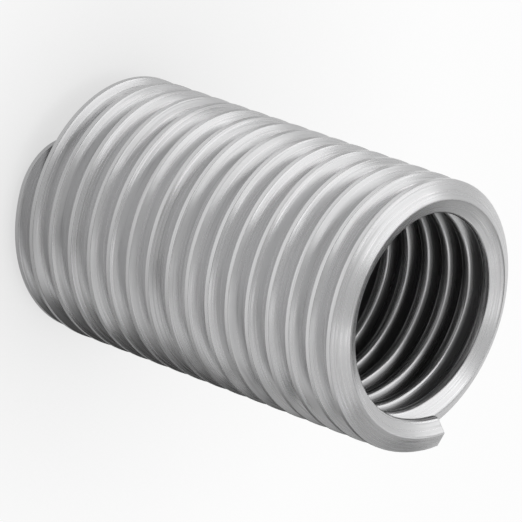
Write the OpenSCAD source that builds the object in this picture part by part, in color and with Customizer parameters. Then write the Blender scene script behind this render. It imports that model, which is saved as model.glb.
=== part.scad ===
// Wire thread insert: one length of diamond section wire, wound into a coil
// whose outer crests screw into a tapped hole and whose inner crests take a
// screw. At the lower end the wire bends inwards and crosses the bore as the
// drive tang. At the upper end, where the screw enters, it is cut off.
// The axis is Z. The coil stands on its tang end, with the tang along X.

/* [Thread] */
// Distance from one turn to the next, along the axis
thread_pitch = 2; // [1.6:0.05:2.4]
// Diameter over the outer crests, before the insert is screwed in
free_diameter = 20; // [18:0.1:24]
// Turns of the coil, from the tang's bend to the cut end
coil_turns = 16.32; // [6:0.01:17.5]
// Angle between the two flanks of the thread, in degrees
flank_angle = 60; // [56:1:64]

/* [Wire section] */
// Clear gap between the widest corners of neighbouring turns
turn_gap = 0.2; // [0.1:0.01:0.5]
// Width of the flat along the outer crest
outer_flat = 0.35; // [0.1:0.01:0.5]
// Width of the flat along the inner crest
inner_flat = 0.5; // [0.2:0.01:0.8]
// Width of the flat that blunts each side corner
corner_flat = 0.1; // [0.05:0.01:0.3]
// Lean of the section, with its inner crest towards the entry, in degrees
section_lean = 3.5; // [0:0.5:8]

/* [Drive tang] */
// Radius of the inward bend, to the middle of the wire
bend_radius = 3.3; // [2.4:0.1:3.7]
// Distance from the coil's axis to the tip of the tang
tang_reach = 4.5; // [2:0.1:5.5]
// Distance from the coil's axis to the middle line of the tang
tang_offset = 0.3; // [0:0.05:0.8]
// How far the last turn draws in before the bend
draw_in = 0.55; // [0:0.05:0.8]
// Length of the drawn in stretch, in degrees
draw_in_arc = 220; // [60:5:300]

/* [Entry end] */
// How far the cut end of the wire springs outwards
entry_spring = 0.3; // [0:0.05:0.5]
// Length of the sprung stretch, in degrees
entry_spring_arc = 30; // [15:1:60]
// Slant of the cut, with the outer crest ahead of the inner one, in degrees
cut_slant = 10; // [0:1:15]

/* [Hidden] */

steel_colour = [0.72, 0.72, 0.73];

// Angle between two cross sections along the coil and the bend
step_angle = 9;
// A cross section this close to either end of the coil is left out
least_step = step_angle / 2;

// The section, as depth below the outer crest and height along the axis
wire_width = thread_pitch - turn_gap;
outer_depth = (wire_width - outer_flat) / 2 / tan(flank_angle / 2);
inner_depth = (wire_width - inner_flat) / 2 / tan(flank_angle / 2);
inner_start = outer_depth + corner_flat;
wire_depth = inner_start + inner_depth;
plain_section = [
    [0, outer_flat / 2],
    [outer_depth, wire_width / 2],
    [inner_start, wire_width / 2],
    [wire_depth, inner_flat / 2],
    [wire_depth, -inner_flat / 2],
    [inner_start, -wire_width / 2],
    [outer_depth, -wire_width / 2],
    [0, -outer_flat / 2]
];
section = [for (p = plain_section) [p[0], p[1] + p[0] * tan(section_lean)]];
lowest_corner = min([for (p = section) p[1]]);

// The bend turns the wire from the coil's circle to the line of the tang
coil_radius = free_diameter / 2;
wire_radius = coil_radius - draw_in - wire_depth / 2;
bend_centre = wire_radius - bend_radius;
bend_angle = acos((tang_offset - bend_radius) / bend_centre);
bend_start = bend_angle - 90;
bend_steps = ceil(bend_angle / step_angle);

// The wire levels out in the bend, so that the tang lies flat
bend_length = PI * bend_radius * bend_angle / 180;
climb = thread_pitch / (2 * PI * wire_radius);
tang_height = -lowest_corner;
bend_start_height = tang_height + climb * bend_length / 2;

coil_angle = 360 * coil_turns;
first_step = ceil((bend_start + least_step) / step_angle);
last_step = floor((bend_start + coil_angle - least_step) / step_angle);

// Share of an end's change in radius, at an angle from that end
function ease(from_end, arc) = from_end < arc ? pow(1 - from_end / arc, 2) : 0;

function crest_radius(turned) =
    coil_radius
    - draw_in * ease(turned, draw_in_arc)
    + entry_spring * ease(coil_angle - turned, entry_spring_arc);

// A station is a point on the outer crest and the direction that it faces
function coil_station(turned) =
    let (
        facing = bend_start + turned,
        r = crest_radius(turned)
    )
    [
        r * cos(facing),
        r * sin(facing),
        bend_start_height + thread_pitch * turned / 360,
        facing
    ];

function bend_station(turned) =
    let (
        facing = bend_start - turned,
        r = bend_radius + wire_depth / 2,
        along = PI * bend_radius * turned / 180
    )
    [
        bend_centre * cos(bend_start) + r * cos(facing),
        bend_centre * sin(bend_start) + r * sin(facing),
        bend_start_height - climb * (along - along * along / (2 * bend_length)),
        facing
    ];

tang_tip = [-tang_reach, -tang_offset - wire_depth / 2, tang_height, -90];

stations = [
    tang_tip,
    for (i = [bend_steps : -1 : 1]) bend_station(bend_angle * i / bend_steps),
    coil_station(0),
    for (i = [first_step : last_step]) coil_station(step_angle * i - bend_start)
];

// The section, set up at a station and slanted about the middle of the wire
function ring(station, slant = 0) = [
    for (p = section)
        let (
            facing = station[3],
            ahead = (wire_depth / 2 - p[0]) * tan(slant)
        )
        [
            station[0] - p[0] * cos(facing) - ahead * sin(facing),
            station[1] - p[0] * sin(facing) + ahead * cos(facing),
            station[2] + p[1]
        ]
];

wire_rings = [
    for (s = stations) ring(s),
    ring(coil_station(coil_angle), cut_slant)
];

// A solid bar through a row of rings of equal length
module bar(rings) {
    corners = len(rings[0]);
    spans = len(rings) - 1;
    sides = [
        for (i = [0 : spans - 1], j = [0 : corners - 1])
            let (
                a = i * corners + j,
                b = i * corners + (j + 1) % corners
            )
            each [[a, b, b + corners], [a, b + corners, a + corners]]
    ];
    near_cap = [for (j = [corners - 1 : -1 : 0]) j];
    far_cap = [for (j = [0 : corners - 1]) spans * corners + j];
    polyhedron(
        points = [for (r = rings) each r],
        faces = concat(sides, [near_cap, far_cap])
    );
}

module coiled_wire() {
    color(steel_colour)
    bar(wire_rings);
}

coiled_wire();
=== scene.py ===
import math

import bpy
from mathutils import Matrix, Vector


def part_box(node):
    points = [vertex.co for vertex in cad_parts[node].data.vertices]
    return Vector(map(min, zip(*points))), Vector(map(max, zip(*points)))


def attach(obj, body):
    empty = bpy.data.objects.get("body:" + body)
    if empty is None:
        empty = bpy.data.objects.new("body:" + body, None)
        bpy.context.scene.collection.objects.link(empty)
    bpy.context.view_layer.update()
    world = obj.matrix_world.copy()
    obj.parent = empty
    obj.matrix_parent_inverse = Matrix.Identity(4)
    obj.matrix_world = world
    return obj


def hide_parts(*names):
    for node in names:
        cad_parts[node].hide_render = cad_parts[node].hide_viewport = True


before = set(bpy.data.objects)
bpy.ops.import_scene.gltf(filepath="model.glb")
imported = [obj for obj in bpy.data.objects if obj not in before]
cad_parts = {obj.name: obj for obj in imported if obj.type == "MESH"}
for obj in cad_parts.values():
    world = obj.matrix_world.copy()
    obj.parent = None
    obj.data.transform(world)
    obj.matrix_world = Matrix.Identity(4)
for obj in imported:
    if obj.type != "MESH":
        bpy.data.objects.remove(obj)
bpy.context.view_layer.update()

bl_info = {
    "name": "Wire Thread Insert",
    "version": (1, 0, 0),
    "blender": (4, 5, 0),
    "location": "3D Viewport > Sidebar > Insert",
    "description": "Builds a coiled wire thread insert with its steel finish and a small studio",
    "category": "Add Mesh",
}

# Millimetres to Blender's metres
MM = 0.001
# Free outer radius of the coil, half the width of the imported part
CREST_RADIUS = (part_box("coiled_wire")[1][0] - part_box("coiled_wire")[0][0]) / 2


# The sizes and colours that a user would change

class WireSizes(bpy.types.PropertyGroup):
    crest_radius: bpy.props.FloatProperty(
        name="Crest radius", description="Radius over the outer crests of the free coil",
        default=CREST_RADIUS, min=0.001, unit="LENGTH", precision=5)
    pitch: bpy.props.FloatProperty(
        name="Pitch", description="Distance from one turn to the next",
        default=2 * MM, min=0.0005, unit="LENGTH", precision=5)
    turns: bpy.props.FloatProperty(
        name="Turns", description="Turns from the tang's bend to the cut end",
        default=16.32, min=1)
    turn_gap: bpy.props.FloatProperty(
        name="Turn gap", description="Gap between the side corners of neighbouring turns",
        default=0.2 * MM, min=0, unit="LENGTH", precision=5)
    flank_angle: bpy.props.FloatProperty(
        name="Flank angle", description="Angle between the two flanks of the thread",
        default=math.radians(60), subtype="ANGLE")
    outer_flat: bpy.props.FloatProperty(
        name="Outer flat", description="Width of the outer crest",
        default=0.35 * MM, min=0, unit="LENGTH", precision=5)
    inner_flat: bpy.props.FloatProperty(
        name="Inner flat", description="Width of the inner crest",
        default=0.5 * MM, min=0, unit="LENGTH", precision=5)
    corner_flat: bpy.props.FloatProperty(
        name="Corner flat", description="Width of the flat that blunts each side corner",
        default=0.1 * MM, min=0, unit="LENGTH", precision=5)
    lean: bpy.props.FloatProperty(
        name="Lean", description="Lean of the section, with its inner crest towards the entry",
        default=math.radians(3.5), subtype="ANGLE")
    outer_rounding: bpy.props.FloatProperty(
        name="Outer rounding", description="Radius of the edges of the outer crest",
        default=0.03 * MM, min=0, unit="LENGTH", precision=5)
    side_rounding: bpy.props.FloatProperty(
        name="Side rounding", description="Radius of the edges at the side corners",
        default=0.13 * MM, min=0, unit="LENGTH", precision=5)
    inner_rounding: bpy.props.FloatProperty(
        name="Inner rounding", description="Radius of the edges of the inner crest",
        default=0.36 * MM, min=0, unit="LENGTH", precision=5)
    cut_slant: bpy.props.FloatProperty(
        name="Cut slant", description="Slant of the cut end, with its outer crest ahead",
        default=math.radians(10), subtype="ANGLE")
    cut_bevel: bpy.props.FloatProperty(
        name="Cut bevel", description="Width of the worn edge round each cut end",
        default=0.07 * MM, min=0, unit="LENGTH", precision=5)
    draw_in: bpy.props.FloatProperty(
        name="Draw in", description="How far the last turn draws in before the bend",
        default=0.55 * MM, unit="LENGTH", precision=5)
    draw_in_arc: bpy.props.FloatProperty(
        name="Draw in arc", description="Length of the drawn in stretch",
        default=math.radians(220), subtype="ANGLE")
    entry_spring: bpy.props.FloatProperty(
        name="Entry spring", description="How far the cut end springs outwards",
        default=0.3 * MM, unit="LENGTH", precision=5)
    entry_spring_arc: bpy.props.FloatProperty(
        name="Entry spring arc", description="Length of the sprung stretch",
        default=math.radians(30), subtype="ANGLE")
    bend_radius: bpy.props.FloatProperty(
        name="Bend radius", description="Radius of the tang's bend, to the middle of the wire",
        default=3.3 * MM, unit="LENGTH", precision=5)
    tang_reach: bpy.props.FloatProperty(
        name="Tang reach", description="Distance from the axis to the tip of the tang",
        default=4.5 * MM, unit="LENGTH", precision=5)
    tang_offset: bpy.props.FloatProperty(
        name="Tang offset", description="Distance from the axis to the tang's middle line",
        default=0.3 * MM, unit="LENGTH", precision=5)
    rings_per_turn: bpy.props.IntProperty(
        name="Rings per turn", description="Cross sections in one turn of the coil",
        default=100, min=12)


class SteelFinish(bpy.types.PropertyGroup):
    colour: bpy.props.FloatVectorProperty(
        name="Colour", description="Colour of the bright stainless wire",
        default=(0.66, 0.66, 0.665), size=3, subtype="COLOR", min=0, max=1)
    roughness: bpy.props.FloatProperty(
        name="Roughness", description="Mean roughness of the satin surface",
        default=0.28, min=0, max=1, subtype="FACTOR")
    grain_depth: bpy.props.FloatProperty(
        name="Grain depth", description="Strength of the drawing lines",
        default=0.18, min=0, max=1, subtype="FACTOR")
    scratch_depth: bpy.props.FloatProperty(
        name="Scratch depth", description="How dark the long drawing scratches are",
        default=0.14, min=0, max=1, subtype="FACTOR")
    waviness: bpy.props.FloatProperty(
        name="Waviness", description="Height of the faint waves that the coiling leaves",
        default=0.25 * MM, min=0, unit="LENGTH", precision=5)
    # Painted shade: how far the grooves of the bore are darkened towards black
    painted_bore_shade: bpy.props.FloatProperty(
        name="Painted bore shade", description="How far the painted shade darkens the grooves of the bore",
        default=0.66, min=0, max=1, subtype="FACTOR")


class StudioLook(bpy.types.PropertyGroup):
    floor_colour: bpy.props.FloatVectorProperty(
        name="Floor colour", description="Colour of the pale floor",
        default=(0.9, 0.9, 0.9), size=3, subtype="COLOR", min=0, max=1)
    world_level: bpy.props.FloatProperty(
        name="World level", description="Brightness of the surroundings",
        default=0.05, min=0)
    contact_reach: bpy.props.FloatProperty(
        name="Contact shadow", description="Reach of the soft shadow round the foot",
        default=0.03, min=0, unit="LENGTH")
    shadow_depth: bpy.props.FloatProperty(
        name="Shadow depth", description="How far the soft shadow darkens the white floor",
        default=0.3, min=0, max=1, subtype="FACTOR")
    white_share: bpy.props.FloatProperty(
        name="White share", description="Share of plain white in the floor, beside its paint",
        default=0.96, min=0, max=1, subtype="FACTOR")
    near_glow: bpy.props.FloatProperty(
        name="Near glow", description="Glow of the floor on its bright side, as the part sees it",
        default=1.0, min=0)
    far_glow: bpy.props.FloatProperty(
        name="Far glow", description="Glow of the floor on its dim side, as the part sees it",
        default=0.9, min=0)
    lens: bpy.props.FloatProperty(
        name="Lens", description="Focal length of the camera in millimetres",
        default=431.0, min=1)


# Small helpers for node trees

def socket_named(sockets, name):
    """The first socket of that name."""
    return next(s for s in sockets if s.name == name)


class Tree:
    """A node tree with short calls for adding and linking nodes."""

    def __init__(self, tree):
        self.tree = tree

    def node(self, kind, settings=None, **inputs):
        """Adds a node, sets its properties and fills its inputs by name."""
        made = self.tree.nodes.new(kind)
        for key, value in (settings or {}).items():
            setattr(made, key, value)
        for key, value in inputs.items():
            self.fill(socket_named(made.inputs, key.replace("_", " ")), value)
        return made

    def fill(self, socket, value):
        """Links a socket to an output, or sets its value."""
        if isinstance(value, bpy.types.NodeSocket):
            self.tree.links.new(value, socket)
        else:
            socket.default_value = value

    def math(self, operation, *values):
        """A Math node on up to three values or outputs."""
        made = self.tree.nodes.new("ShaderNodeMath")
        made.operation = operation
        for socket, value in zip(made.inputs, values):
            self.fill(socket, value)
        return made.outputs[0]

    def vector_math(self, operation, *values):
        """A Vector Math node; a length or a dot product comes out as a number."""
        made = self.tree.nodes.new("ShaderNodeVectorMath")
        made.operation = operation
        for socket, value in zip(made.inputs, values):
            self.fill(socket, value)
        is_number = operation in ("LENGTH", "DOT_PRODUCT")
        return made.outputs["Value" if is_number else "Vector"]

    def map_range(self, value, start, end, low=0.0, high=1.0, smooth=False):
        """A number from low to high, as the value goes from start to end."""
        curve = "SMOOTHSTEP" if smooth else "LINEAR"
        made = self.node(
            "ShaderNodeMapRange", {"interpolation_type": curve}, Value=value,
            From_Min=start, From_Max=end, To_Min=low, To_Max=high)
        return made.outputs[0]

    def blend(self, share, first, second):
        """A colour that goes from the first to the second as the share rises."""
        made = self.node(
            "ShaderNodeMixRGB", {"blend_type": "MIX"}, Fac=share, Color1=first, Color2=second)
        return made.outputs[0]


# The wire

# Points of tang, bend and coil that are closer than this are one
WELD_DISTANCE = 0.001 * MM
# Edges of the cuts that turn by more than this get the worn edge
BEVEL_ANGLE = math.radians(50)
BEVEL_STEPS = 2


def section_corners(sizes):
    """Corners of the section, as depth below the outer crest and height."""
    width = sizes.pitch - sizes.turn_gap
    slope = math.tan(sizes.flank_angle / 2)
    outer = (width - sizes.outer_flat) / 2 / slope
    inner_start = outer + sizes.corner_flat
    depth = inner_start + (width - sizes.inner_flat) / 2 / slope
    half = [
        (0, sizes.outer_flat / 2),
        (outer, width / 2),
        (inner_start, width / 2),
        (depth, sizes.inner_flat / 2),
    ]
    mirrored = [(u, -v) for u, v in reversed(half)]
    lean = math.tan(sizes.lean)
    return [(u, v + u * lean) for u, v in half + mirrored], depth


def rounded(corners, radii, steps=4, margin=0.1):
    """The outline with each corner as an arc, and points that keep the flats flat beside it."""
    points = []
    count = len(corners)
    for i, (corner, radius) in enumerate(zip(corners, radii)):
        here = Vector(corner)
        back = (Vector(corners[i - 1]) - here).normalized()
        ahead = (Vector(corners[(i + 1) % count]) - here).normalized()
        half_angle = back.angle(ahead) / 2
        reach = radius / math.tan(half_angle)
        centre = here + (back + ahead).normalized() * radius / math.sin(half_angle)
        first = (here + back * reach - centre).normalized()
        last = (here + ahead * reach - centre).normalized()
        points.append(here + back * (reach + margin * radius))
        for step in range(steps + 1):
            points.append(centre + radius * first.slerp(last, step / steps))
        points.append(here + ahead * (reach + margin * radius))
    return points


def section_curve(sizes):
    """A closed curve of the wire's rounded section, centred on the wire."""
    corners, depth = section_corners(sizes)
    half = [sizes.outer_rounding] + [sizes.side_rounding] * 2 + [sizes.inner_rounding]
    outline = rounded(corners, half + half[::-1])
    data = bpy.data.curves.new("wire_section", "CURVE")
    data.dimensions = "2D"
    spline = data.splines.new("POLY")
    spline.points.add(len(outline) - 1)
    for point, (u, v) in zip(spline.points, reversed(outline)):
        point.co = (depth / 2 - u, -v, 0, 1)
    spline.use_cyclic_u = True
    return bpy.data.objects.new("wire_section", data)


def wire_measures(sizes):
    """Derived measures of the bend and of the heights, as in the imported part."""
    corners, depth = section_corners(sizes)
    wire_radius = sizes.crest_radius - sizes.draw_in - depth / 2
    bend_centre = wire_radius - sizes.bend_radius
    bend_angle = math.acos((sizes.tang_offset - sizes.bend_radius) / bend_centre)
    bend_length = sizes.bend_radius * bend_angle
    climb = sizes.pitch / (math.tau * wire_radius)
    tang_height = -min(v for u, v in corners)
    return {
        "Middle Radius": sizes.crest_radius - depth / 2,
        "Bend Centre": bend_centre,
        "Bend Angle": bend_angle,
        "Bend Start": bend_angle - math.pi / 2,
        "Bend Length": bend_length,
        "Climb": climb,
        "Tang Height": tang_height,
        "Start Height": tang_height + climb * bend_length / 2,
        "Cut Shear": math.tan(sizes.cut_slant),
    }


FLOAT_INPUTS = (
    "Pitch", "Turns", "Draw In", "Draw In Arc", "Entry Spring", "Entry Spring Arc",
    "Bend Radius", "Tang Reach", "Tang Offset", "Middle Radius", "Bend Centre",
    "Bend Angle", "Bend Start", "Bend Length", "Climb", "Tang Height", "Start Height",
    "Cut Shear",
)


def ease(tree, from_end, arc):
    """The square of what is left of an arc, and zero beyond it."""
    left = tree.math("SUBTRACT", 1.0, tree.math("DIVIDE", from_end, arc))
    return tree.math("POWER", tree.math("MAXIMUM", left, 0.0), 2.0)


def placed_line(tree, count, x, y, z):
    """A chain of points whose places are fields."""
    line = tree.node("GeometryNodeMeshLine", Count=count)
    place = tree.node("ShaderNodeCombineXYZ", X=x, Y=y, Z=z)
    moved = tree.node(
        "GeometryNodeSetPosition", Geometry=line.outputs[0], Position=place.outputs[0])
    return moved.outputs[0]


def coil_path(tree, sizes_in, index):
    """The helix, with its drawn in start and its sprung end."""
    rings = tree.math("MULTIPLY", sizes_in["Turns"], sizes_in["Rings Per Turn"])
    spans = tree.math("CEIL", rings)
    total = tree.math("MULTIPLY", sizes_in["Turns"], math.tau)
    turned = tree.math("MULTIPLY", index, tree.math("DIVIDE", total, spans))
    facing = tree.math("ADD", turned, sizes_in["Bend Start"])
    drawn = tree.math(
        "MULTIPLY", sizes_in["Draw In"], ease(tree, turned, sizes_in["Draw In Arc"]))
    to_end = tree.math("SUBTRACT", total, turned)
    sprung = tree.math(
        "MULTIPLY", sizes_in["Entry Spring"], ease(tree, to_end, sizes_in["Entry Spring Arc"]))
    radius = tree.math(
        "ADD", tree.math("SUBTRACT", sizes_in["Middle Radius"], drawn), sprung)
    risen = tree.math(
        "MULTIPLY", sizes_in["Pitch"], tree.math("DIVIDE", turned, math.tau))
    coil = placed_line(
        tree,
        tree.math("ADD", spans, 1.0),
        tree.math("MULTIPLY", radius, tree.math("COSINE", facing)),
        tree.math("MULTIPLY", radius, tree.math("SINE", facing)),
        tree.math("ADD", sizes_in["Start Height"], risen),
    )
    marked = tree.node("GeometryNodeCaptureAttribute", Geometry=coil)
    marked.capture_items.new("FLOAT", "At Cut")
    before_cut = tree.math("SUBTRACT", spans, 0.5)
    tree.fill(marked.inputs[1], tree.math("GREATER_THAN", index, before_cut))
    last = tree.math("ADD", total, sizes_in["Bend Start"])
    tangent = tree.node(
        "ShaderNodeCombineXYZ", X=tree.math("MULTIPLY", tree.math("SINE", last), -1.0),
        Y=tree.math("COSINE", last))
    return marked.outputs[0], marked.outputs[1], tangent.outputs[0]


def bend_path(tree, sizes_in, index, spans=40):
    """The bend that turns the wire from the coil to the tang."""
    turned = tree.math("MULTIPLY", index, tree.math("DIVIDE", sizes_in["Bend Angle"], spans))
    facing = tree.math("SUBTRACT", sizes_in["Bend Start"], turned)
    along = tree.math("MULTIPLY", sizes_in["Bend Radius"], turned)
    levelled = tree.math(
        "DIVIDE", tree.math("MULTIPLY", along, along),
        tree.math("MULTIPLY", sizes_in["Bend Length"], 2.0))
    dropped = tree.math("MULTIPLY", sizes_in["Climb"], tree.math("SUBTRACT", along, levelled))
    across = {}
    for axis, wave in (("x", "COSINE"), ("y", "SINE")):
        centre = tree.math(
            "MULTIPLY", sizes_in["Bend Centre"], tree.math(wave, sizes_in["Bend Start"]))
        arm = tree.math("MULTIPLY", sizes_in["Bend Radius"], tree.math(wave, facing))
        across[axis] = tree.math("ADD", centre, arm)
    height = tree.math("SUBTRACT", sizes_in["Start Height"], dropped)
    return placed_line(tree, spans + 1, across["x"], across["y"], height)


def tang_path(tree, sizes_in, index, spans=16):
    """The straight tang, from its tip to the bend."""
    start = tree.math("MULTIPLY", sizes_in["Tang Reach"], -1.0)
    end = tree.math(
        "MULTIPLY", sizes_in["Bend Centre"], tree.math("COSINE", sizes_in["Bend Start"]))
    share = tree.math("DIVIDE", index, float(spans))
    reach = tree.math("MULTIPLY", tree.math("SUBTRACT", end, start), share)
    return placed_line(
        tree,
        spans + 1,
        tree.math("ADD", start, reach),
        tree.math("MULTIPLY", sizes_in["Tang Offset"], -1.0),
        sizes_in["Tang Height"],
    )


def wire_tree():
    """Geometry Nodes that sweep the section along tang, bend and coil."""
    group = bpy.data.node_groups.new("Coiled Wire", "GeometryNodeTree")
    group.interface.new_socket("Geometry", in_out="OUTPUT", socket_type="NodeSocketGeometry")
    group.interface.new_socket("Section", in_out="INPUT", socket_type="NodeSocketObject")
    group.interface.new_socket("Steel", in_out="INPUT", socket_type="NodeSocketMaterial")
    group.interface.new_socket("Rings Per Turn", in_out="INPUT", socket_type="NodeSocketInt")
    for name in FLOAT_INPUTS:
        group.interface.new_socket(name, in_out="INPUT", socket_type="NodeSocketFloat")
    tree = Tree(group)
    sizes_in = tree.node("NodeGroupInput").outputs
    index = tree.node("GeometryNodeInputIndex").outputs[0]

    chain = tree.node("GeometryNodeJoinGeometry")
    coil, at_cut, cut_tangent = coil_path(tree, sizes_in, index)
    for path in (coil, bend_path(tree, sizes_in, index), tang_path(tree, sizes_in, index)):
        group.links.new(path, chain.inputs[0])
    welded = tree.node(
        "GeometryNodeMergeByDistance", Geometry=chain.outputs[0], Distance=WELD_DISTANCE)
    path = tree.node("GeometryNodeMeshToCurve", Mesh=welded.outputs[0])
    level = tree.node(
        "GeometryNodeSetCurveNormal", {"mode": "Z_UP"}, Curve=path.outputs[0])

    # Where a point lies on the straight wire: along it, and across its section
    spline = tree.node("GeometryNodeSplineParameter")
    on_path = tree.node("GeometryNodeCaptureAttribute", Geometry=level.outputs[0])
    on_path.capture_items.new("FLOAT", "Along")
    group.links.new(spline.outputs["Length"], on_path.inputs[1])
    info = tree.node("GeometryNodeObjectInfo", Object=sizes_in["Section"])
    here = tree.node("GeometryNodeInputPosition")
    on_section = tree.node(
        "GeometryNodeCaptureAttribute", Geometry=info.outputs["Geometry"])
    on_section.capture_items.new("VECTOR", "Across")
    group.links.new(here.outputs[0], on_section.inputs[1])

    bar = tree.node(
        "GeometryNodeCurveToMesh", Curve=on_path.outputs[0],
        Profile_Curve=on_section.outputs[0], Fill_Caps=True)
    across = tree.node("ShaderNodeSeparateXYZ", Vector=on_section.outputs[1])
    straight = tree.node(
        "ShaderNodeCombineXYZ", X=on_path.outputs[1], Y=across.outputs[0], Z=across.outputs[1])
    ahead = tree.math(
        "MULTIPLY", tree.math("MULTIPLY", across.outputs[0], at_cut), sizes_in["Cut Shear"])
    shift = tree.node(
        "ShaderNodeVectorMath", {"operation": "SCALE"}, Vector=cut_tangent, Scale=ahead)
    slanted = tree.node(
        "GeometryNodeSetPosition", Geometry=bar.outputs[0], Offset=shift.outputs[0])
    stored = tree.node(
        "GeometryNodeStoreNamedAttribute", {"data_type": "FLOAT_VECTOR", "domain": "POINT"},
        Geometry=slanted.outputs[0], Name="straight_wire")
    group.links.new(straight.outputs[0], stored.inputs["Value"])
    real = tree.node("GeometryNodeRealizeInstances", Geometry=stored.outputs[0])
    steel = tree.node(
        "GeometryNodeSetMaterial", Geometry=real.outputs[0], Material=sizes_in["Steel"])
    group.links.new(steel.outputs[0], tree.node("NodeGroupOutput").inputs[0])
    return group


def set_input(modifier, name, value):
    """Sets a modifier's input through the identifier of its socket."""
    items = modifier.node_group.interface.items_tree
    item = next(i for i in items if i.name == name and i.in_out == "INPUT")
    modifier[item.identifier] = value


def add_to_scene(thing):
    """Puts an object in the scene, and gives it back."""
    bpy.context.scene.collection.objects.link(thing)
    return thing


def build_wire(sizes, steel):
    """The wire as one plain mesh, made by the tree and bevelled at its cuts."""
    section = add_to_scene(section_curve(sizes))
    worker = add_to_scene(bpy.data.objects.new("wire_worker", bpy.data.meshes.new("wire_worker")))
    nodes = worker.modifiers.new("Coiled Wire", "NODES")
    nodes.node_group = wire_tree()
    values = {
        "Section": section, "Steel": steel, "Rings Per Turn": sizes.rings_per_turn,
        "Pitch": sizes.pitch, "Turns": sizes.turns,
        "Draw In": sizes.draw_in, "Draw In Arc": sizes.draw_in_arc,
        "Entry Spring": sizes.entry_spring, "Entry Spring Arc": sizes.entry_spring_arc,
        "Bend Radius": sizes.bend_radius,
        "Tang Reach": sizes.tang_reach, "Tang Offset": sizes.tang_offset,
    }
    values.update(wire_measures(sizes))
    for name, value in values.items():
        set_input(nodes, name, value)
    bevel = worker.modifiers.new("Cut Bevel", "BEVEL")
    bevel.width = sizes.cut_bevel
    bevel.segments = BEVEL_STEPS
    bevel.limit_method = "ANGLE"
    bevel.angle_limit = BEVEL_ANGLE
    bevel.use_clamp_overlap = False
    finished = worker.evaluated_get(bpy.context.evaluated_depsgraph_get())
    mesh = bpy.data.meshes.new_from_object(finished)
    mesh.name = "satin_wire"
    worker.modifiers.clear()
    bpy.data.objects.remove(worker)
    bpy.data.objects.remove(section)
    for face in mesh.polygons:
        face.use_smooth = len(face.vertices) == 4
    return add_to_scene(bpy.data.objects.new("satin_wire", mesh))


# The finish

# Noise drawn out along the wire: its repeats to the metre along it, outwards and down
LINE_GRAIN = (60.0, 9000.0, 9000.0)
CLOUD_GRAIN = (120.0, 500.0, 500.0)
SCRATCH_GRAIN = (160.0, 6500.0, 6500.0)
WAVE_GRAIN = (110.0, 320.0, 320.0)
# Height of the drawing lines at full strength
LINE_HEIGHT = 0.02 * MM
# Noise levels over which the drawing lines go from smooth to rough
LINE_LEVELS = (0.3, 0.7)
# What the smoothest and the roughest lines add to the mean roughness
LINE_ROUGHNESS = (-0.05, 0.08)
# Noise levels over which a scratch goes from bare to full
SCRATCH_LEVELS = (0.58, 0.68)
# Share of the colour that is left in the darkest clouds
CLOUD_TONE = 0.94
BLACK = (0, 0, 0, 1)

# The painted shade in the bore fades in off the inner crest between these shares of the depth,
# outwards from the middle
SHADE_OFF_CREST = (-0.42, -0.3)
# It fades in past the side corners, towards the bore, between these shares
SHADE_PAST_CORNERS = (0.02, -0.05)
# It fades in towards the lower side of the inner crest between these heights above its middle
SHADE_LOWER_SIDE = (0.22 * MM, 0.1 * MM)
# It fades in over this share of a turn at both ends of the coil
SHADE_END_FADE = 1 / 8


def stretched_noise(tree, flow, grain, detail=3.0):
    """Noise drawn out along the wire."""
    mapped = tree.node("ShaderNodeMapping", Vector=flow, Scale=grain)
    noise = tree.node("ShaderNodeTexNoise", Vector=mapped.outputs[0], Scale=1.0, Detail=detail)
    return noise.outputs[0]


def painted_shade_share(tree, flow, sizes):
    """Share of painted shade: one in the bore, zero on the entry side of each crest, on the tang
    and on the entry turn.
    """
    depth = section_corners(sizes)[1]
    measures = wire_measures(sizes)
    turn_length = math.hypot(math.tau * measures["Middle Radius"], sizes.pitch)
    fade = SHADE_END_FADE * turn_length
    tang_length = sizes.tang_reach + measures["Bend Centre"] * math.cos(measures["Bend Start"])
    coil_start = tang_length + measures["Bend Length"]
    open_end = (sizes.turns - 1) * turn_length + sizes.tang_reach + sizes.bend_radius
    crest_middle = depth * math.tan(sizes.lean)

    along, outwards, down = tree.node("ShaderNodeSeparateXYZ", Vector=flow).outputs
    # Painted shade for the grooves of the bore: off the inner crest and on its lower side
    off_crest = tree.map_range(outwards, *[share * depth for share in SHADE_OFF_CREST])
    lower_side = tree.map_range(down, *[-crest_middle - height for height in SHADE_LOWER_SIDE])
    painted_shade = tree.math("MAXIMUM", off_crest, lower_side)
    for limit in (
            tree.map_range(outwards, *[share * depth for share in SHADE_PAST_CORNERS]),
            tree.map_range(along, open_end, open_end - fade),
            tree.map_range(along, coil_start, coil_start + fade)):
        painted_shade = tree.math("MULTIPLY", painted_shade, limit)
    return painted_shade


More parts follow.
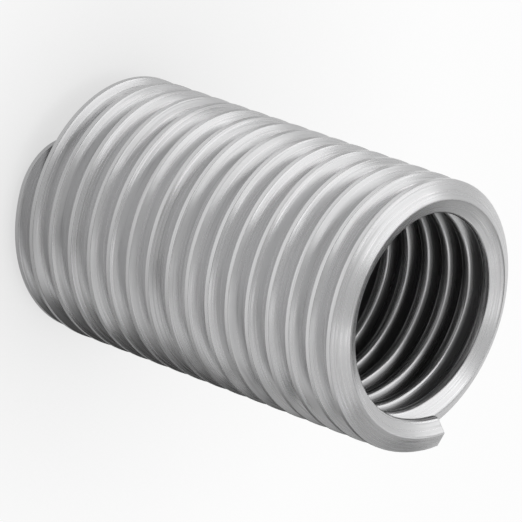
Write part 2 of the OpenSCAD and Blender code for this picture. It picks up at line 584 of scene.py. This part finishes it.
def steel_material(finish, sizes):
    """Satin drawn stainless steel, with fine lines along the wire and painted shade in the grooves
    of the bore.
    """
    material = bpy.data.materials.new("satin_stainless")
    material.use_nodes = True
    material.node_tree.nodes.clear()
    tree = Tree(material.node_tree)
    flow = tree.node("ShaderNodeAttribute", {"attribute_name": "straight_wire"}).outputs["Vector"]

    cloud = stretched_noise(tree, flow, CLOUD_GRAIN)
    clouded = tree.blend(
        cloud, (*[CLOUD_TONE * part for part in finish.colour], 1), (*finish.colour, 1))
    scratches = stretched_noise(tree, flow, SCRATCH_GRAIN)
    scratched = tree.map_range(scratches, *SCRATCH_LEVELS, high=finish.scratch_depth)
    marked = tree.blend(scratched, clouded, BLACK)
    # Painted shade: the grooves of the bore are blended towards black
    painted_shade = tree.math("MULTIPLY", painted_shade_share(tree, flow, sizes), finish.painted_bore_shade)
    bore_shaded = tree.blend(painted_shade, marked, BLACK)

    lines = stretched_noise(tree, flow, LINE_GRAIN)
    rough = tree.map_range(
        lines, *LINE_LEVELS, *[finish.roughness + change for change in LINE_ROUGHNESS])
    waves = stretched_noise(tree, flow, WAVE_GRAIN, detail=1.0)
    wavy = tree.node("ShaderNodeBump", Height=waves, Strength=1.0, Distance=finish.waviness)
    bump = tree.node(
        "ShaderNodeBump", Height=lines, Strength=finish.grain_depth, Distance=LINE_HEIGHT,
        Normal=wavy.outputs[0])
    shader = tree.node(
        "ShaderNodeBsdfPrincipled", Base_Color=bore_shaded, Metallic=1.0,
        Roughness=rough, Normal=bump.outputs[0])
    tree.node("ShaderNodeOutputMaterial", Surface=shader.outputs[0])
    return material


# The stage

# Half the side of the square floor, in metres
FLOOR_HALF = 1.5
# Powers of the open share of the sky, in the shadow that shows and in the glow that the part sees
SHADOW_POWER = 1.5
GLOW_POWER = 0.3
# Rays that feel for the shadow at one point
SHADOW_SAMPLES = 8
# The side of the part, in degrees of azimuth, on which the floor is brightest
BRIGHT_SIDE = 0
# Places across the foot of the part, towards the bright side, over which the glow rises
GLOW_RISE = (-20 * MM, 40 * MM)
# Oval shades on the floor, as the part sees them: middle, radii and what is left of the glow
FLOOR_SHADES = (
    (Vector((-60, 12, 0)) * MM, Vector((100, 60, 1000)) * MM, 0.1),
    (Vector((4, -34, 0)) * MM, Vector((13, 28, 1000)) * MM, 0.55),
)
# Share of a shade's reach that has its full depth
SHADE_CORE = 0.23

# Where the camera stands, as the photograph sees the part
CAMERA_AZIMUTH = math.radians(28.5)
CAMERA_ELEVATION = math.radians(39.95)
CAMERA_ROLL = math.radians(109.85)
CAMERA_DISTANCE = 457.5 * MM
CAMERA_AIM = Vector((-0.07, 0.28, 17.13)) * MM
# Width of the sensor in millimetres, and the nearest and farthest that the camera sees in metres
SENSOR_WIDTH = 36.0
NEAREST_SEEN = 0.01
FARTHEST_SEEN = 20.0

# Square soft panels: name, azimuth and elevation in degrees, distance, side and brightness
SOFT_PANELS = (
    ("key", 282, 53, 600 * MM, 520 * MM, 1.32),
    ("key_low", 240, 20, 600 * MM, 480 * MM, 0.66),
    ("top", 20, 80, 600 * MM, 480 * MM, 0.58),
    ("far", 122, 59, 600 * MM, 400 * MM, 0.75),
    ("back", 208, 42, 600 * MM, 200 * MM, 0.6),
    ("front", 30, 25, 600 * MM, 400 * MM, 0.35),
    ("card", 157, 48, 42 * MM, 27 * MM, 0.46),
    ("low_card", 188, 46, 35 * MM, 20 * MM, 0.44),
)


def toward(azimuth, elevation):
    """A unit vector from angles in degrees."""
    turn = math.radians(azimuth)
    rise = math.radians(elevation)
    return Vector((
        math.cos(rise) * math.cos(turn), math.cos(rise) * math.sin(turn), math.sin(rise)))


def soft_shade(tree, place, centre, radii, level):
    """An oval shade on the floor: its level in the middle, and one beyond its rim."""
    moved = tree.vector_math("SUBTRACT", place, centre)
    scaled = tree.vector_math("DIVIDE", moved, radii)
    reach = tree.vector_math("LENGTH", scaled)
    return tree.map_range(reach, SHADE_CORE, 1.0, level, 1.0, smooth=True)


def floor_material(look):
    """A pale floor that shows as white, keeps a soft shadow and lights the part from one side."""
    material = bpy.data.materials.new("pale_floor")
    material.use_nodes = True
    material.node_tree.nodes.clear()
    tree = Tree(material.node_tree)
    near = tree.node(
        "ShaderNodeAmbientOcclusion", {"samples": SHADOW_SAMPLES}, Distance=look.contact_reach)
    open_share = near.outputs["AO"]
    covered = tree.math("SUBTRACT", 1.0, tree.math("POWER", open_share, SHADOW_POWER))
    shown = tree.math("SUBTRACT", 1.0, tree.math("MULTIPLY", covered, look.shadow_depth))

    # The glow rises across the foot of the part, towards the bright side
    place = tree.node("ShaderNodeNewGeometry").outputs["Position"]
    across = tree.vector_math("DOT_PRODUCT", place, toward(BRIGHT_SIDE, 0))
    lit = tree.map_range(across, *GLOW_RISE, look.far_glow, look.near_glow, smooth=True)
    for centre, radii, level in FLOOR_SHADES:
        lit = tree.math("MULTIPLY", lit, soft_shade(tree, place, centre, radii, level))
    sent = tree.math("MULTIPLY", tree.math("POWER", open_share, GLOW_POWER), lit)

    camera_ray = tree.node("ShaderNodeLightPath").outputs["Is Camera Ray"]
    level = tree.node("ShaderNodeMix", {"data_type": "FLOAT"}, Factor=camera_ray, A=sent, B=shown)
    paint = tree.node("ShaderNodeBsdfDiffuse", Color=(*look.floor_colour, 1))
    white = tree.node("ShaderNodeEmission", Color=level.outputs[0], Strength=1.0)
    mixed = tree.node("ShaderNodeMixShader", Fac=look.white_share)
    tree.fill(mixed.inputs[1], paint.outputs[0])
    tree.fill(mixed.inputs[2], white.outputs[0])
    tree.node("ShaderNodeOutputMaterial", Surface=mixed.outputs[0])
    return material


def camera_turn():
    """The camera's axes: right, up and back, rolled as in the photograph."""
    back = Vector((
        math.cos(CAMERA_ELEVATION) * math.cos(CAMERA_AZIMUTH),
        math.cos(CAMERA_ELEVATION) * math.sin(CAMERA_AZIMUTH),
        math.sin(CAMERA_ELEVATION),
    ))
    level_right = Vector((0, 0, 1)).cross(back).normalized()
    level_up = back.cross(level_right)
    right = math.cos(CAMERA_ROLL) * level_right + math.sin(CAMERA_ROLL) * level_up
    up = back.cross(right)
    return right, up, back


def frame_matrix(right, up, back, place):
    """A world matrix from three axes and a place."""
    turn = Matrix((right, up, back)).transposed().to_4x4()
    return Matrix.Translation(place) @ turn


def add_camera(look):
    """The scene's camera, placed and rolled as the photograph's."""
    data = bpy.data.cameras.new("photo_camera")
    data.lens = look.lens
    data.sensor_width = SENSOR_WIDTH
    data.clip_start = NEAREST_SEEN
    data.clip_end = FARTHEST_SEEN
    camera = add_to_scene(bpy.data.objects.new("photo_camera", data))
    right, up, back = camera_turn()
    camera.matrix_world = frame_matrix(right, up, back, CAMERA_AIM + CAMERA_DISTANCE * back)
    bpy.context.scene.camera = camera


def add_panel_light(name, azimuth, elevation, distance, side_length, level):
    """A square soft light that faces the middle of the part; a level of 1 shines as white."""
    data = bpy.data.lights.new(name, "AREA")
    data.shape = "SQUARE"
    data.size = side_length
    data.energy = math.pi * side_length ** 2 * level
    light = add_to_scene(bpy.data.objects.new(name, data))
    back = toward(azimuth, elevation)
    side = Vector((0, 0, 1)).cross(back).normalized()
    place = CAMERA_AIM + distance * back
    light.matrix_world = frame_matrix(side, back.cross(side), back, place)


class INSERT_OT_coiled_wire(bpy.types.Operator):
    """Build the coiled wire and its steel finish"""
    bl_idname = "insert.coiled_wire"
    bl_label = "Coiled Wire"

    def execute(self, context):
        sizes = context.scene.wire_sizes
        steel = steel_material(context.scene.steel_finish, sizes)
        wire = build_wire(sizes, steel)
        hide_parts("coiled_wire")
        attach(wire, "root")
        return {"FINISHED"}


class INSERT_OT_studio(bpy.types.Operator):
    """Build the floor, the soft lights and the camera"""
    bl_idname = "insert.studio"
    bl_label = "Studio"

    def execute(self, context):
        look = context.scene.studio_look
        scene = context.scene
        scene.view_settings.view_transform = "Standard"
        mesh = bpy.data.meshes.new("floor")
        ends = ((-1, -1), (1, -1), (1, 1), (-1, 1))
        corners = [(FLOOR_HALF * x, FLOOR_HALF * y, 0) for x, y in ends]
        mesh.from_pydata(corners, [], [(0, 1, 2, 3)])
        mesh.materials.append(floor_material(look))
        floor = add_to_scene(bpy.data.objects.new("floor", mesh))
        world = bpy.data.worlds.new("studio")
        scene.world = world
        world.use_nodes = True
        world.node_tree.nodes.clear()
        tree = Tree(world.node_tree)
        around = tree.node(
            "ShaderNodeBackground", Color=(1, 1, 1, 1), Strength=look.world_level)
        tree.node("ShaderNodeOutputWorld", Surface=around.outputs[0])
        add_camera(look)
        for panel in SOFT_PANELS:
            add_panel_light(*panel)
        return {"FINISHED"}


class VIEW3D_PT_insert(bpy.types.Panel):
    """Sizes, finish and build buttons of the insert"""
    bl_idname = "VIEW3D_PT_insert"
    bl_label = "Wire Thread Insert"
    bl_space_type = "VIEW_3D"
    bl_region_type = "UI"
    bl_category = "Insert"

    def draw(self, context):
        layout = self.layout
        for group in (
                context.scene.wire_sizes, context.scene.steel_finish, context.scene.studio_look):
            box = layout.box()
            for name in group.__annotations__:
                box.prop(group, name)
        for operator in (INSERT_OT_coiled_wire, INSERT_OT_studio):
            layout.operator(operator.bl_idname)


CLASSES = (
    WireSizes, SteelFinish, StudioLook,
    INSERT_OT_coiled_wire, INSERT_OT_studio, VIEW3D_PT_insert,
)


def register():
    """Adds the classes and hangs the sizes, the finish and the look on the scene."""
    for cls in CLASSES:
        bpy.utils.register_class(cls)
    bpy.types.Scene.wire_sizes = bpy.props.PointerProperty(type=WireSizes)
    bpy.types.Scene.steel_finish = bpy.props.PointerProperty(type=SteelFinish)
    bpy.types.Scene.studio_look = bpy.props.PointerProperty(type=StudioLook)


def unregister():
    """Takes off again what register adds."""
    del bpy.types.Scene.studio_look
    del bpy.types.Scene.steel_finish
    del bpy.types.Scene.wire_sizes
    for cls in reversed(CLASSES):
        bpy.utils.unregister_class(cls)


def main():
    register()
    bpy.ops.insert.coiled_wire()
    bpy.ops.insert.studio()


if __name__ == "__main__":
    main()
